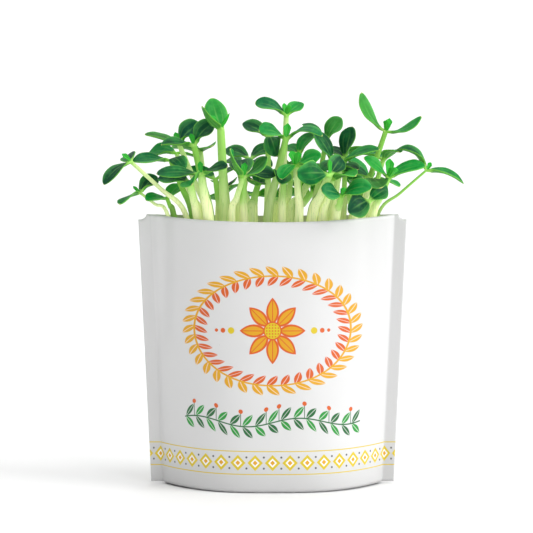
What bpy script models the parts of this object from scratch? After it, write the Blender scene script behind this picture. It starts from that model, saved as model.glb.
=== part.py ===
# Sunflower microgreens growing in a stand-up film pouch.
# Millimetres are used throughout the script; finish() turns them into metres.
# +X is to the viewer's right, -Y is toward the viewer, +Z is up, and the origin
# is the middle of the small flat spot that the pouch stands on.

import math
import random

import bpy
from mathutils import Matrix, Vector
from mathutils.bvhtree import BVHTree

# Driving dimensions of the pouch
POUCH_HEIGHT = 142.5        # floor to the corners of the torn top edge
TOP_HALF_WIDTH = 70.0       # to the outer edge of the side seal
FOOT_HALF_WIDTH = 63.75
SEAL_WIDTH = 6.3            # flat side seal
FILM = 0.6                  # thickness that stands in for the film laminate
SHEET_GAP = 0.3             # between the two films of a side seal
FOOT_BULGE = 30.0           # how far a panel stands out from the seal plane
MOUTH_BULGE = 18.5
MOUTH_SAG = 2.9             # how far the middle of the top edge hangs down
NOTCH_WIDE = 4.3
NOTCH_TALL = 3.2

# Driving dimensions of what is inside
SOIL_TOP = 78.0
SOIL_GAP = 0.5
GUSSET_RISE = 20.0          # how much higher the gusset's ends are than its middle
REST_SHARE = 0.45           # share of the gusset that is flat on the floor
HOLE_DEPTH = 14.0
HOLE_SIDES = 6
ROOT_DEPTH = 12.0
HOLE_GAP = 0.4
STEM_SPACING = 7.0

# Driving dimensions of the leaves
BLADE_HALF_THICK = 0.62
TRUE_HALF_THICK = 0.5
TRUE_WIDTH = 0.58           # of a true leaf's length
CLEARANCE = 0.25
VIEW_SIN = 0.105            # the list below gives heights as seen 6 degrees from above
VIEW_COS = 0.995

# One line for each sprout that can be told apart from the front: crown x, depth y
# and height as seen; x where the stem leaves the pouch; stem radius; two seed
# leaves, each tip x, y, z from the crown, then width, roll in degrees and arch;
# number and length of the small true leaves at the crown.
SEEN = [
    (-26, -7, 185, -23, 2.5, (-5, 9, 18, 12.5, 5, -0.08), (-11, -10, 13, 12, 15, -0.08), 2, 9),
    (-37, -14, 161, -35, 2.3, (-23, -3, 1, 10, 30, 0.04), (14, -8, 5, 9, 25, 0.06), 1, 6),
    (-73, -6, 168, -46, 1.2, (-15, -3, -13, 9.5, 25, 0.10), (-5, 13, 6, 9, 0, 0.05), 1, 6),
    (-69, -2, 152, -57, 0.85, (-10.5, -11, -5, 9, 10, 0.08), (8.5, 8, 8, 10, 60, 0.05), 1, 5),
    (-49, 7, 178, -37, 1.6, (-18, 3, 5, 9, 20, 0.04), (11, 5, 10, 12, 70, 0.10), 1, 6),
    (-41, 1, 177, -31, 1.9, (-17, -6, 1, 9.5, 35, 0.06), (11, 3, 12, 11, 60, 0.12), 1, 6),
    (-16, -11, 161, -20, 1.6, (-5, -7, 17, 13, 5, -0.06), (15, -3, 10, 9.5, 35, -0.06), 1, 7),
    (7, -3, 180, 1, 2.1, (-14, -7, 5, 11, 40, 0.14), (19, -6, 2.5, 9, 20, 0.24), 1, 8),
    (7, 9, 193, 3, 1.7, (-16.5, 3, 6.5, 10, 40, 0.10), (8, 10, 7, 8, 30, 0.05), 2, 7),
    (31, -5, 167, 25, 2.0, (-7.5, 0, 23, 10, 60, 0.06), (11, -12, 3, 9, 20, 0.10), 1, 6),
    (38, 6, 170, 33, 1.5, (4, 2, 17, 12, 30, 0.04), (-10, 10, 5, 9, 20, 0.06), 0, 0),
    (28, 10, 180, 21, 1.5, (8, 5, 12, 9, 50, 0.08), (-12.5, 5, 8.5, 8, 20, 0.12), 0, 0),
    (59, 2, 184, 43, 1.6, (-12.5, 3, 20.5, 10, 38, -0.12), (18.5, -3, 8.5, 9.5, 35, -0.14), 2, 8),
    (80, -2, 164, 61, 0.75, (-15, 3, 11, 9, 15, 0.22), (20, 3, -7, 8, 10, 0.12), 1, 5),
    (60, -9, 160, 50, 1.8, (-13, -6, 11, 9.5, 35, 0.06), (19.5, 4, 6.5, 10, 18, 0.08), 2, 10),
    (35, -8, 167, 29, 1.6, (20.5, -4, 8, 10, 25, 0.08), (-10, -10, -3, 9, 10, 0.10), 0, 0),
    (14, -9, 168, 9, 1.9, (12.5, -5, 10, 10, 40, 0.05), (-8, -12, -4, 9, 20, 0.16), 2, 9),
    (-54, 1, 150, -51, 1.3, (-11, -9, 1, 10, 30, 0.10), (8, 11, 6, 9, 30, 0.05), 0, 0),
    (29, -15, 159, 20, 2.3, (-19.5, -5, -1, 13, 65, 0.05), (6, 9, 11, 10, 30, 0.06), 1, 7),
    (4, -15, 161, -3, 2.0, (-8, -11, 5, 12, 40, 0.10), (10, 4, 11, 10, 40, 0.12), 1, 7),
    (36, -17, 150, 34, 1.8, (15.5, -5, 6, 11, 30, 0.14), (-11, -8, 4, 10, 50, 0.05), 1, 6),
    (49, -12, 148, 42, 1.6, (-12, -9, -3, 13, 50, 0.08), (10, 8, 7, 9, 20, 0.10), 0, 0),
    (31, -3, 162, 16, 1.6, (20, 8, 5.5, 9, 10, 0.05), (-10, 12, 6, 10, 20, 0.10), 0, 0),
    (13, 2, 172, 13, 1.8, (12.5, 8, 9, 11, 20, 0.14), (-10, 10, 5, 10, 20, 0.08), 0, 0),
    (-2, 6, 182, -6, 1.7, (-13, 7, 8, 10, 40, 0.05), (5, -11, -9, 11, 60, 0.12), 1, 6),
    (58, 8, 170, 46, 1.5, (7, -12, 6, 11, 15, 0.20), (-11, 11, 3, 11, 30, 0.08), 0, 0),
    (-53, 3, 169, -43, 1.6, (-20, -4, 0, 11, 35, 0.04), (7.5, -12, -4, 9, 10, 0.18), 0, 0),
    (-51, 11, 173, -41, 1.5, (-14.5, 8, 2, 11, 45, 0.05), (11.5, 10, -2, 10, 20, 0.05), 0, 0),
    (-50, 6, 156, -46, 1.5, (-11, -8, 4, 11, 50, 0.10), (11, 9, 3, 10, 30, 0.06), 0, 0),
    (-12, 9, 170, -14, 1.8, (-13, 6, 5, 11, 50, 0.05), (12, 8, 6, 10, 30, 0.08), 0, 0),
]
MORE_SPROUTS = 26           # placed by the seeded rule, behind and between the others
FILL_DEPTHS = (14.0, -8.0, 20.0, 4.0, 10.0, 17.0)
FILL_HEIGHTS = (168.0, 160.0, 170.0, 164.0, 153.0, 156.0)
SEED = 19
TRIES = 1200

# How far a sprout may move from its line in the list at the last try: its crown
# sideways, in height and in depth; the turn and the tilt of its leaves in degrees;
# the share of their length that the leaves lose
SEEN_DRIFT = (2.2, 2.2, 10.0, 20.0, 22.0, 0.12)
FILL_DRIFT = (6.6, 11.9, 14.0, 180.0, 22.0, 0.36)
FIRST_DRIFT = 0.3           # at the first try
GATE_DRIFT = 4.0
ROLL_DRIFT = 20.0
ROOT_SHARE_X = 0.86         # roots stand closer together than the stems at the mouth
ROOT_SHARE_Y = 0.75
GATE_SHARE_Y = 0.85

# Stations along a seed leaf: share of the length, of the width, of the thickness
BLADE = [(0.09, 0.35, 1.25), (0.24, 0.74, 1.05), (0.48, 1.0, 1.0), (0.74, 0.89, 0.92),
         (0.92, 0.51, 0.80)]
TRUE_BLADE = [(0.42, 0.72, 0.75), (0.74, 0.86, 0.70)]

# Colour, roughness and metallic of each material
FILM_WHITE = ("pouch_film", (0.93, 0.93, 0.93), 0.42)
FILM_FOOT = ("gusset_film", (0.90, 0.90, 0.90), 0.45)
COIR = ("coir_medium", (0.10, 0.055, 0.03), 0.95)
SPROUT_GREEN = ("sprout_green", (0.12, 0.42, 0.08), 0.45)


# Shared helpers
def clear_scene():
    for obj in list(bpy.data.objects):
        bpy.data.objects.remove(obj, do_unlink=True)


def material(name, colour, roughness):
    made = bpy.data.materials.get(name)
    if made:
        return made
    made = bpy.data.materials.new(name)
    made.use_nodes = True
    shader = made.node_tree.nodes["Principled BSDF"]
    shader.inputs["Base Color"].default_value = (*colour, 1.0)
    shader.inputs["Roughness"].default_value = roughness
    shader.inputs["Metallic"].default_value = 0.0
    made.diffuse_color = (*colour, 1.0)
    return made


def finish(name, points, faces, look, smooth=True):
    """A named object from points in millimetres."""
    mesh = bpy.data.meshes.new(name)
    mesh.from_pydata([tuple(0.001 * c for c in p) for p in points], [], faces)
    mesh.validate()
    mesh.update()
    for face in mesh.polygons:
        face.use_smooth = smooth
    obj = bpy.data.objects.new(name, mesh)
    bpy.context.scene.collection.objects.link(obj)
    obj.data.materials.append(material(*look))
    return obj


def smooth(t):
    t = min(max(t, 0.0), 1.0)
    return t * t * (3.0 - 2.0 * t)


def hermite(start, end, slope_in, slope_out, t):
    """Value at t of the cubic with these end values and end slopes."""
    a = 2 * t**3 - 3 * t**2 + 1
    b = t**3 - 2 * t**2 + t
    c = -2 * t**3 + 3 * t**2
    d = t**3 - t**2
    return start * a + slope_in * b + end * c + slope_out * d


# Form of the pouch
def half_width(z):
    return FOOT_HALF_WIDTH + (TOP_HALF_WIDTH - FOOT_HALF_WIDTH) * z / POUCH_HEIGHT


def panel_depth(x, z):
    """Distance of a panel's mid-surface from the seal plane."""
    v = z / POUCH_HEIGHT
    flat = (SHEET_GAP + FILM) / 2
    s = x / (half_width(z) - SEAL_WIDTH)
    if abs(s) >= 1.0:
        return flat
    bulge = hermite(FOOT_BULGE, MOUTH_BULGE, 12.0, -12.0, v)
    shape = 1.0 - abs(s) ** (3.0 - 0.8 * v)
    valley = 1.3 * math.exp(-(((x + 52.0) / 4.0) ** 2)) * smooth((v - 0.45) / 0.5)
    return flat + max(bulge * shape - valley, 0.0)


def inner_depth(x, z):
    """Distance of a panel's inner face from the seal plane, a little on the safe side."""
    return panel_depth(x, z) - 0.5 * FILM * 1.35


def top_edge(x):
    """Height of the torn edge, with the tear notch at each corner."""
    left = TOP_HALF_WIDTH - abs(x)
    sag = MOUTH_SAG * (1.0 - (x / TOP_HALF_WIDTH) ** 2)
    if left >= NOTCH_WIDE:
        return POUCH_HEIGHT - sag
    share = 1.0 - (max(left, 0.0) / NOTCH_WIDE) ** 2
    return POUCH_HEIGHT - sag - NOTCH_TALL * math.sqrt(share)


def foot_edge(x):
    return 0.4 + 0.8 * (x / FOOT_HALF_WIDTH) ** 2


def panel_columns():
    """Signed places across a panel: seal and notch columns by distance from the edge."""
    edge = [0.0, 1.3, 2.8, 4.0, NOTCH_WIDE, SEAL_WIDTH]
    middle = [-0.92, -0.80, -0.62, -0.42, -0.21, 0.0, 0.21, 0.42, 0.62, 0.80, 0.92]
    columns = [(-1, d) for d in edge]
    columns += [(0, s) for s in middle]
    columns += [(1, d) for d in reversed(edge)]
    return columns


def column_x(column, z):
    kind, value = column
    if kind == 0:
        return value * (half_width(z) - SEAL_WIDTH)
    return kind * (half_width(z) - value)


def grid_normals(grid):
    """Unit normals of a grid of points from the neighbours on each side."""
    rows = len(grid)
    cols = len(grid[0])
    out = []
    for i in range(rows):
        line = []
        for j in range(cols):
            up = grid[min(i + 1, rows - 1)][j] - grid[max(i - 1, 0)][j]
            across = grid[i][min(j + 1, cols - 1)] - grid[i][max(j - 1, 0)]
            line.append(across.cross(up).normalized())
        out.append(line)
    return out


def sheet_solid(grid, above, below):
    """Closed sheet from a grid: faces offset along the normals, cut alike on both."""
    normals = grid_normals(grid)
    rows = len(grid)
    cols = len(grid[0])
    points = []
    for offset in (above, -below):
        for i in range(rows):
            for j in range(cols):
                points.append(grid[i][j] + normals[i][j] * offset)
    half = rows * cols

    def at(i, j, side):
        return side * half + i * cols + j

    faces = []
    for i in range(rows - 1):
        for j in range(cols - 1):
            a, b = at(i, j, 0), at(i, j + 1, 0)
            c, d = at(i + 1, j + 1, 0), at(i + 1, j, 0)
            faces += [(a, b, c), (a, c, d)]
            faces += [(a + half, c + half, b + half), (a + half, d + half, c + half)]
    rim = [(0, j) for j in range(cols)]
    rim += [(i, cols - 1) for i in range(1, rows)]
    rim += [(rows - 1, j) for j in range(cols - 2, -1, -1)]
    rim += [(i, 0) for i in range(rows - 2, 0, -1)]
    for k, (i, j) in enumerate(rim):
        m, n = rim[(k + 1) % len(rim)]
        a, b = at(i, j, 0), at(m, n, 0)
        faces += [(a, b + half, b), (a, a + half, b + half)]
    return points, faces


def make_panel(name, side):
    """One film panel; side is -1 for the front and 1 for the back."""
    rows = [0.0, 0.10, 0.22, 0.36, 0.50, 0.64, 0.78, 0.90, 1.0]
    grid = []
    for v in rows:
        line = []
        for column in panel_columns():
            x = column_x(column, v * POUCH_HEIGHT)
            z = foot_edge(x) + (top_edge(column_x(column, POUCH_HEIGHT)) - foot_edge(x)) * v
            line.append(Vector((x, -panel_depth(x, z), z)))
        grid.append(line)
    points, faces = sheet_solid(grid, FILM / 2, FILM / 2)
    if side > 0:
        points = [Vector((p.x, -p.y, p.z)) for p in points]
        faces = [tuple(reversed(f)) for f in faces]
    return finish(name, points, faces, FILM_WHITE), (points, faces)


# Form of the gusset and of the growing medium
def gusset_edge(x):
    return 5.0 + GUSSET_RISE * abs(x / (FOOT_HALF_WIDTH - SEAL_WIDTH)) ** 3


def gusset_reach(x):
    return max(inner_depth(x, gusset_edge(x)) - 0.6, 0.5)


def gusset_height(x, y):
    """Underside of the gusset: flat in the middle, rising to the seal with the panels."""
    out = math.hypot(x / (FOOT_HALF_WIDTH - SEAL_WIDTH), y / gusset_reach(x))
    return gusset_edge(x) * smooth((out - REST_SHARE) / (1.0 - REST_SHARE))


def make_gusset():
    length = FOOT_HALF_WIDTH - SEAL_WIDTH - 3.0
    xs = [-1, -0.93, -0.84, -0.72, -0.58, -0.45, -0.23, 0]
    xs += [-x for x in reversed(xs[:-1])]
    across = [-1, -0.82, -0.62, -0.43, 0, 0.43, 0.62, 0.82, 1]
    grid = []
    for s in across:
        line = []
        for share in xs:
            x = share * length
            y = s * gusset_reach(x)
            line.append(Vector((x, y, gusset_height(x, y))))
        grid.append(line)
    points, faces = sheet_solid(grid, FILM, 0.0)
    return finish("bottom_gusset", points, faces, FILM_FOOT)


def soil_height(x, y):
    return SOIL_TOP + 0.9 * math.sin(0.11 * x + 1.0) + 0.6 * math.cos(0.23 * y + 0.05 * x)


def soil_section(x):
    """Closed outline of the growing medium across the pouch at this x, seen from +X."""
    outline = []
    shares = [-1.0, -0.80, -0.50, 0.0, 0.50, 0.80, 1.0]
    low = gusset_edge(x) + 2.2
    wide = inner_depth(x, low) - SOIL_GAP
    for s in shares:
        y = s * wide
        outline.append(Vector((x, y, gusset_height(x, y) + 2.2)))
    for share in (0.33, 0.67):
        z = low + (SOIL_TOP - low) * share
        outline.append(Vector((x, inner_depth(x, z) - SOIL_GAP, z)))
    wide = inner_depth(x, SOIL_TOP) - SOIL_GAP
    for s in (1.0, 0.5, 0.0, -0.5, -1.0):
        outline.append(Vector((x, s * wide, soil_height(x, s * wide))))
    for share in (0.67, 0.33):
        z = low + (SOIL_TOP - low) * share
        outline.append(Vector((x, -(inner_depth(x, z) - SOIL_GAP), z)))
    return outline


def soil_body():
    reach = FOOT_HALF_WIDTH - SEAL_WIDTH - 6.0
    xs = [reach * s for s in (-1, -0.9, -0.75, -0.55, -0.3, 0, 0.3, 0.55, 0.75, 0.9, 1)]
    points = []
    faces = []
    for x in xs:
        points += soil_section(x)
    n = len(points) // len(xs)
    for i in range(len(xs) - 1):
        for k in range(n):
            a, b = i * n + k, i * n + (k + 1) % n
            c, d = b + n, a + n
            faces += [(a, c, b), (a, d, c)]
    for start, turn in ((0, 1), ((len(xs) - 1) * n, -1)):
        middle = Vector((0, 0, 0))
        for k in range(n):
            middle += points[start + k] / n
        points.append(middle)
        for k in range(n):
            face = (start + k, start + (k + 1) % n, len(points) - 1)
            faces.append(face if turn > 0 else tuple(reversed(face)))
    return points, faces


def make_soil(bases):
    """The growing medium with a plain round hole for each root."""
    points, faces = soil_body()
    soil = finish("growing_medium", points, faces, COIR, smooth=False)
    points = []
    faces = []
    for x, y, radius in bases:
        wide = (radius + HOLE_GAP) / math.cos(math.pi / HOLE_SIDES)
        first = len(points)
        for z in (soil_height(x, y) - HOLE_DEPTH, soil_height(x, y) + 5.0):
            for k in range(HOLE_SIDES):
                turn = 2.0 * math.pi * k / HOLE_SIDES
                points.append((x + wide * math.cos(turn), y + wide * math.sin(turn), z))
        low = [first + k for k in range(HOLE_SIDES)]
        high = [first + HOLE_SIDES + k for k in range(HOLE_SIDES)]
        faces.append(tuple(reversed(low)))
        faces.append(tuple(high))
        for k in range(HOLE_SIDES):
            m = (k + 1) % HOLE_SIDES
            faces.append((low[k], low[m], high[m], high[k]))
    holes = finish("root_holes", points, faces, COIR, smooth=False)
    holes.hide_render = True
    holes.display_type = "WIRE"
    cut = soil.modifiers.new("root_holes", "BOOLEAN")
    cut.operation = "DIFFERENCE"
    cut.solver = "EXACT"
    cut.object = holes
    return soil


# One sprout: a tube of eight-point rings that forks at the crown into leaves
def ring(centre, side, back, wide, deep):
    """Eight points round a centre, starting on `side` and turning toward `back`."""
    out = []
    for k in range(8):
        turn = math.pi * k / 4
        out.append(centre + side * (wide * math.cos(turn)) + back * (deep * math.sin(turn)))
    return out


def bridge(faces, low, high):
    """Join two rings, with the diagonals mirrored between the two faces of a blade."""
    for k in range(8):
        m = (k + 1) % 8
        if k < 4:
            faces += [(low[k], low[m], high[m]), (low[k], high[m], high[k])]
        else:
            faces += [(low[k], low[m], high[k]), (low[m], high[m], high[k])]


def add(points, new):
    first = len(points)
    points += new
    return list(range(first, len(points)))


def close_tip(points, faces, last, tip):
    apex = add(points, [tip])[0]
    for k in range(8):
        faces.append((last[k], last[(k + 1) % 8], apex))


def grow_blade(points, faces, start, foot, stem_up, leaf, stations, thick):
    """A leaf blade from the start ring: along the chord to the tip, arched and rolled."""
    tip, width, roll, arch, cup = leaf
    chord = tip - foot
    length = chord.length
    along = chord.normalized()
    upper = (stem_up - along * stem_up.dot(along)).normalized()
    if along.cross(upper).y > 0:
        roll = -roll
    last = start
    for t, wide, deep in stations:
        centre = foot + chord * t + upper * (length * arch * 4 * t * (1 - t))
        tangent = (chord + upper * (length * arch * 4 * (1 - 2 * t))).normalized()
        face_up = (upper - tangent * upper.dot(tangent)).normalized()
        turn = Matrix.Rotation(math.radians(roll) * smooth(t / 0.7), 3, tangent)
        face_up = turn @ face_up
        across = tangent.cross(face_up)
        w = 0.5 * width * wide
        h = thick * deep
        places = [(1, 0), (0.7, -0.85), (0, -1), (-0.7, -0.85),
                  (-1, 0), (-0.7, 0.85), (0, 1), (0.7, 0.85)]
        new = []
        for a, n in places:
            lift = cup * w * a * a
            new.append(centre + across * (a * w) + face_up * (n * h + lift))
        this = add(points, new)
        bridge(faces, last, this)
        last = this
    close_tip(points, faces, last, tip)


def stem_frames(path, side):
    """Side vectors down the stem, turned as little as possible from the crown's."""
    out = [side]
    for _, tangent, _ in reversed(path[:-1]):
        side = (side - tangent * side.dot(tangent)).normalized()
        out.append(side)
    return list(reversed(out))


def stem_path(base, gate, crown, radius):
    """Centres, tangents and radii from the root's ring to the crown's."""
    ground = soil_height(base.x, base.y)
    foot = Vector((base.x, base.y, ground + 0.4))
    up = Vector((0, 0, 1))
    below = (gate - foot).length
    above = (crown - gate).length
    through = ((gate - foot) / below + (crown - gate) / above).normalized()
    end = crown - gate + up * (0.25 * above + 5.0)
    path = [(Vector((base.x, base.y, ground - ROOT_DEPTH)), up, 0.72 * radius),
            (foot, up, 1.05 * radius)]
    spans = [(foot, gate, up * below, through * below, (0.5, 1.0), (1.15, 1.15)),
             (gate, crown, through * above, end, (0.5, 1.0), (0.90, 0.80))]
    for start, stop, slope_in, slope_out, shares, widths in spans:
        for t, wide in zip(shares, widths):
            here = hermite(start, stop, slope_in, slope_out, t)
            ahead = hermite(start, stop, slope_in, slope_out, t + 0.01)
            behind = hermite(start, stop, slope_in, slope_out, t - 0.01)
            path.append((here, (ahead - behind).normalized(), wide * radius))
    return path


def fork(points, faces, start, middle, lift, up, pair, span):
    """Split a ring into two: three shared points across it, lifted along the stem."""
    places = [middle + span * s + up * (lift * (1.0 - 0.35 * abs(s))) for s in (0.5, 0.0, -0.5)]
    shared = add(points, places)
    left = start[:5] + [shared[2], shared[1], shared[0]]
    right = start[4:] + [start[0]] + shared
    return left, right


def grow_sprout(base, gate, crown, radius, leaves, small, size):
    """Points and faces of one sprout, root to leaf tips, as one closed skin."""
    points = []
    faces = []
    path = stem_path(base, gate, crown, radius)
    up = path[-1][1]
    pair = Vector(leaves[1][0]).normalized() - Vector(leaves[0][0]).normalized()
    pair = (pair - up * pair.dot(up)).normalized()
    side = up.cross(pair)
    last = None
    for (centre, tangent, wide), facing in zip(path, stem_frames(path, side)):
        back = tangent.cross(facing)
        this = add(points, ring(centre, facing, back, wide, wide))
        if last is None:
            tip = add(points, [centre - tangent * 1.2])[0]
            for k in range(8):
                faces.append((this[(k + 1) % 8], this[k], tip))
        else:
            bridge(faces, last, this)
        last = this
    r = path[-1][2]
    if small == 0:
        left, right = fork(points, faces, last, crown, 0.9 * r, up, pair, side * r)
    else:
        left_line = [crown - pair * (0.38 * r) + side * (r * s) + up * (0.75 * r) for s in (0.5, 0, -0.5)]
        right_line = [crown + pair * (0.38 * r) + side * (r * s) + up * (0.75 * r) for s in (0.5, 0, -0.5)]
        a = add(points, left_line)
        b = add(points, right_line)
        left = last[:5] + [a[2], a[1], a[0]]
        right = last[4:] + [last[0]] + b
        heart = [last[0], a[0], a[1], a[2], last[4], b[2], b[1], b[0]]
        grow_heart(points, faces, heart, crown, up, pair, side, r, small, size)
    for start, leaf, way in ((left, leaves[0], -1), (right, leaves[1], 1)):
        foot = crown + up * (0.3 * r) + pair * (0.55 * r * way)
        leaf = (crown + leaf[0], *leaf[1:])
        grow_blade(points, faces, start, foot, up, leaf, BLADE, BLADE_HALF_THICK)
    return points, faces


def grow_heart(points, faces, heart, crown, up, pair, side, r, small, size):
    """The first true leaves between the two seed leaves: one, or an opposite pair."""
    top = crown + up * (0.8 * r)
    width = TRUE_WIDTH * size
    turned = heart[6:] + heart[:6]
    if small == 1:
        leaf = (top + up * (0.93 * size) + side * (0.36 * size), width, 0.0, -0.03, 0.1)
        grow_blade(points, faces, turned, top, up, leaf, TRUE_BLADE, TRUE_HALF_THICK)
        return
    left, right = fork(points, faces, turned, top, 0.4 * r, up, -side, pair * (0.4 * r))
    one = (top + up * (0.80 * size) + side * (0.56 * size), width, 0.0, -0.02, 0.12)
    two = (top + up * (0.70 * size) - side * (0.60 * size), width, 0.0, -0.02, 0.12)
    for start, leaf, way in ((left, one, 1), (right, two, -1)):
        foot = top + side * (0.4 * r * way)
        grow_blade(points, faces, start, foot, up, leaf, TRUE_BLADE, TRUE_HALF_THICK)


# The seeded rule that keeps sprouts clear of each other and of the pouch
def from_view(x, y, seen):
    return Vector((x, y, (seen - y * VIEW_SIN) / VIEW_COS))


def inside_mouth(x, y, radius, z):
    """The nearest place to x, y where a stem of this radius clears both panels."""
    limit = half_width(z) - SEAL_WIDTH - 3.5
    x = min(max(x, -limit), limit)
    room = max(inner_depth(x, z) - radius - 0.9, 0.0)
    return x, min(max(y, -room), room)


def more_sprouts(chance):
    """Sprouts that only fill the bunch: crown, way out, radius and two leaves each."""
    out = []
    for k in range(MORE_SPROUTS):
        x = -48.0 + 100.0 * (k + 0.5) / MORE_SPROUTS + chance.uniform(-3, 3)
        y = FILL_DEPTHS[k % 6] + chance.uniform(-3, 3)
        seen = FILL_HEIGHTS[k % 6] + chance.uniform(-5, 5)
        turn = chance.uniform(0, 2 * math.pi)
        leaves = []
        for half in (0, math.pi):
            angle = turn + half + chance.uniform(-0.4, 0.4)
            length = chance.uniform(17, 22)
            rise = length * chance.uniform(-0.1, 0.6)
            tip = (length * math.cos(angle), length * math.sin(angle), rise)
            leaves.append((*tip, chance.uniform(10.5, 13), chance.uniform(0, 40),
                           chance.uniform(0.02, 0.16)))
        radius = chance.uniform(1.5, 2.3)
        small = 1 if k % 6 == 0 else 0
        out.append((x, y, seen, 0.88 * x, radius, leaves[0], leaves[1], small, 6.0 * small))
    return out


def spread_bases(plan):
    """Places of the roots: under each stem's way out, pushed apart to the spacing."""
    spots = [[ROOT_SHARE_X * row[3], ROOT_SHARE_Y * row[1]] for row in plan]
    for _ in range(400):
        for i, a in enumerate(spots):
            for b in spots[:i]:
                dx, dy = a[0] - b[0], a[1] - b[1]
                gap = math.hypot(dx, dy) + 1e-6
                if gap < STEM_SPACING:
                    push = 0.26 * (STEM_SPACING - gap) / gap
                    a[0] += dx * push
                    a[1] += dy * push
                    b[0] -= dx * push
                    b[1] -= dy * push
        for a in spots:
            a[0] = min(max(a[0], -47.5), 47.5)
            room = inner_depth(a[0], SOIL_TOP - 4.0) - 5.2
            a[1] = min(max(a[1], -room), room)
    return spots


def tried(row, spot, chance, reach, drift):
    """A candidate of this sprout; reach grows from 0 to 1 with the tries already made."""
    x, y, seen, _, radius, one, two, small, size = row
    sideways, height, depth, turn, tilt, loss = drift

    def moved(most):
        return chance.uniform(-1, 1) * (FIRST_DRIFT + most * reach)

    crown = from_view(x + moved(sideways), y + moved(depth), seen + moved(height))
    gate_x, gate_y = inside_mouth(spot[0] / ROOT_SHARE_X + moved(GATE_DRIFT),
                                  spot[1] * GATE_SHARE_Y + moved(GATE_DRIFT),
                                  radius, POUCH_HEIGHT - 1)
    leaves = []
    for tx, ty, tz, width, roll, arch in (one, two):
        tip = Vector((tx, ty, tz)) * (1.0 - loss * reach)
        tip = Matrix.Rotation(math.radians(moved(turn)), 3, "Z") @ tip
        level = Vector((-tip.y, tip.x, 0)).normalized()
        tip = Matrix.Rotation(math.radians(moved(tilt)), 3, level) @ tip
        leaves.append((tip, width, roll + moved(ROLL_DRIFT), arch, chance.uniform(0.04, 0.2)))
    return grow_sprout(Vector((spot[0], spot[1], 0)), Vector((gate_x, gate_y, POUCH_HEIGHT + 0.5)),
                       crown, radius, leaves, small, size)


def swollen(points, faces, by):
    """The same skin moved outward along its normals."""
    normals = [Vector((0, 0, 0)) for _ in points]
    for a, b, c in faces:
        n = (points[b] - points[a]).cross(points[c] - points[a])
        for k in (a, b, c):
            normals[k] += n
    return [p + n.normalized() * by for p, n in zip(points, normals)]


def folds_over(points, faces):
    """Whether two faces of one sprout that share no corner pass through each other."""
    tree = BVHTree.FromPolygons(points, faces)
    for i, j in tree.overlap(tree):
        if i < j and not set(faces[i]) & set(faces[j]):
            return True
    return False


def place_sprouts(panels):
    """All sprouts in the order of the list, each clear of those before it."""
    chance = random.Random(SEED)
    plan = SEEN + more_sprouts(chance)
    spots = spread_bases(plan)
    all_points = []
    all_faces = []
    for points, faces in panels:
        first = len(all_points)
        all_points += points
        all_faces += [tuple(k + first for k in face) for face in faces]
    placed = []
    for number, (row, spot) in enumerate(zip(plan, spots)):
        tree = BVHTree.FromPolygons(all_points, all_faces)
        drift = SEEN_DRIFT if number < len(SEEN) else FILL_DRIFT
        for attempt in range(TRIES):
            points, faces = tried(row, spot, chance, attempt / TRIES, drift)
            thick = swollen(points, faces, CLEARANCE)
            if folds_over(points, faces):
                continue
            if BVHTree.FromPolygons(thick, faces).overlap(tree):
                continue
            placed.append((points, faces, spot, 1.05 * row[4]))
            first = len(all_points)
            all_points += points
            all_faces += [tuple(k + first for k in face) for face in faces]
            break
    print(len(placed), "sprouts of", len(plan), "stand clear")
    return placed


def main():
    clear_scene()
    _, front = make_panel("pouch_front_panel", -1)
    _, back = make_panel("pouch_back_panel", 1)
    make_gusset()
    placed = place_sprouts([front, back])
    for number, (points, faces, _, _) in enumerate(placed):
        finish("sprout_%02d" % (number + 1), points, faces, SPROUT_GREEN)
    make_soil([(spot[0], spot[1], wide) for _, _, spot, wide in placed])


main()
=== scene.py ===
# %% [markdown]
# # A pouch of sunflower microgreens
# The object is a stand-up pouch of white film, torn open along its top. A bunch of
# young sunflower plants grows out of it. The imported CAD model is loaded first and
# stays the frame: each piece made here is a finer version of one of its solids, in
# the same place, and rides on the same body.

# %% Load the frame
import math
import random

import bmesh
import bpy
import numpy as np
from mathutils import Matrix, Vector


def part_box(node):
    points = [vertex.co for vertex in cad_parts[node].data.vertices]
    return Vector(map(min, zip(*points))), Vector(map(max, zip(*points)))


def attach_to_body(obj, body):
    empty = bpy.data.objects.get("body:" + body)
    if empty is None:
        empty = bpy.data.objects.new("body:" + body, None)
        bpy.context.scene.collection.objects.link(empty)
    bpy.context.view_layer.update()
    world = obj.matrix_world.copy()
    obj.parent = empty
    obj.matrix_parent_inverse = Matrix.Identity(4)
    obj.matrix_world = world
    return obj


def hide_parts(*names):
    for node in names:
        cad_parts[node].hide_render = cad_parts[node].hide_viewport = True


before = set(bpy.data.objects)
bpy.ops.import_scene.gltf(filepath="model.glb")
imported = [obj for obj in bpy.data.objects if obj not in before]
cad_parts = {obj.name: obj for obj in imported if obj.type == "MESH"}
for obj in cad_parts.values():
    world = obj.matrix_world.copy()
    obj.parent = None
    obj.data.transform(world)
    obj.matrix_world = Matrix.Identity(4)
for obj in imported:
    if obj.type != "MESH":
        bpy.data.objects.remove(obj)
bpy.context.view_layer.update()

MM = 0.001
SPROUTS = sorted(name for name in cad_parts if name.startswith("sprout_"))
print("frame:", len(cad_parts), "nodes,", len(SPROUTS), "of them sprouts")


def placed(name, data):
    """A new object in the scene."""
    obj = bpy.data.objects.new(name, data)
    bpy.context.scene.collection.objects.link(obj)
    return obj


# %% [markdown]
# ## Camera
# The pouch was photographed from a little above its middle with a long lens. Two
# places in the picture settle the view: the row of the spot that the pouch stands on,
# and the column of its middle. With the distance chosen, the lens follows from how
# many pixels a metre of the pouch takes.

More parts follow.
